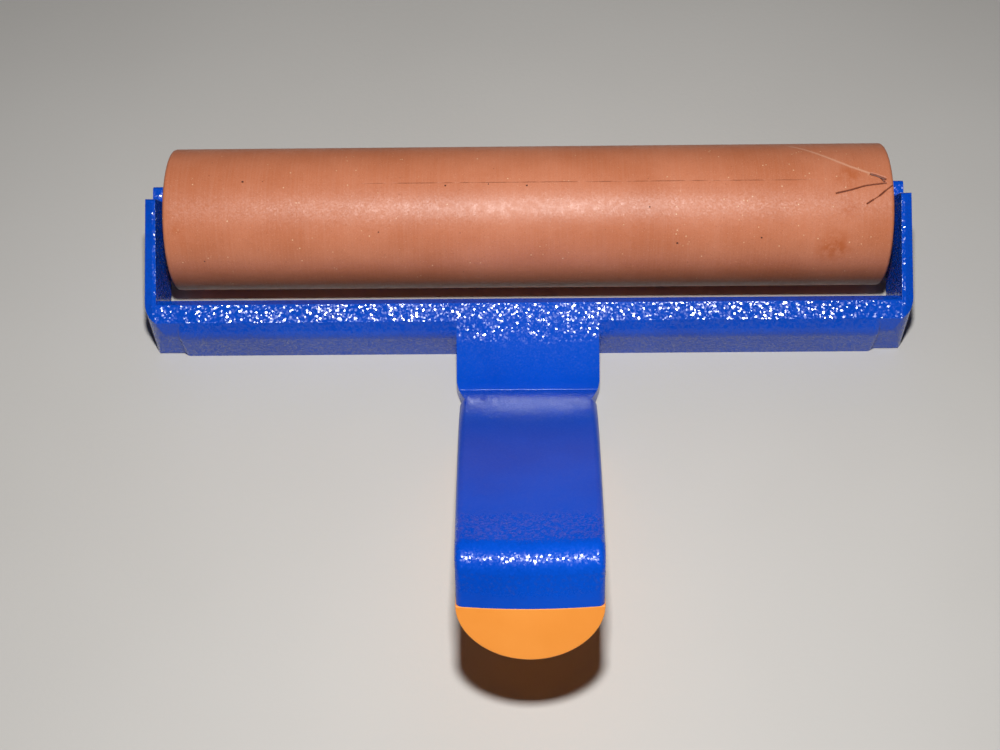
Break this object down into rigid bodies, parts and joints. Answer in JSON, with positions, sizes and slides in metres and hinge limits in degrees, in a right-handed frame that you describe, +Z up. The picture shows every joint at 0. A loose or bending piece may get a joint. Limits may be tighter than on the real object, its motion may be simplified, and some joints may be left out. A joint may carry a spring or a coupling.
{
  "type": "rubber brayer",
  "caption": "Hand ink roller: a rubber sleeve on a core turns on a steel axle in a one-piece plastic yoke whose handle rises from a cross beam, with a rounded contrasting belly grip.",
  "frame": {"origin": "middle of the overall box at the height of the surface that the roller and the foot rest on", "axes": "+X along the roller's axle, +Z up, -Y along the handle towards the user; the roller is on the +Y side"},
  "size_m": [0.1612, 0.1252, 0.0417],
  "materials": {
    "frame_plastic": "royal blue moulded plastic with a fine spark-eroded grain",
    "grip_plastic": "satin orange plastic",
    "roller_rubber": "terracotta natural gum rubber, ground surface with fine specks",
    "core_plastic": "off-white moulded plastic",
    "axle_steel": "drawn bright steel rod"
  },
  "bodies": {
    "handle_frame": {"frame": "frame_plastic", "belly_grip": "grip_plastic"},
    "roller": {"rubber_sleeve": "roller_rubber", "core_tube": "core_plastic", "end_plug_left": "core_plastic", "end_plug_right": "core_plastic", "axle": "axle_steel"}
  },
  "joints": [
    {"name": "roller_spin", "type": "hinge", "parent": "handle_frame", "child": "roller", "pos_m": [0, 0.04739, 0.01525], "axis": [1, 0, 0], "continuous": true}
  ]
}
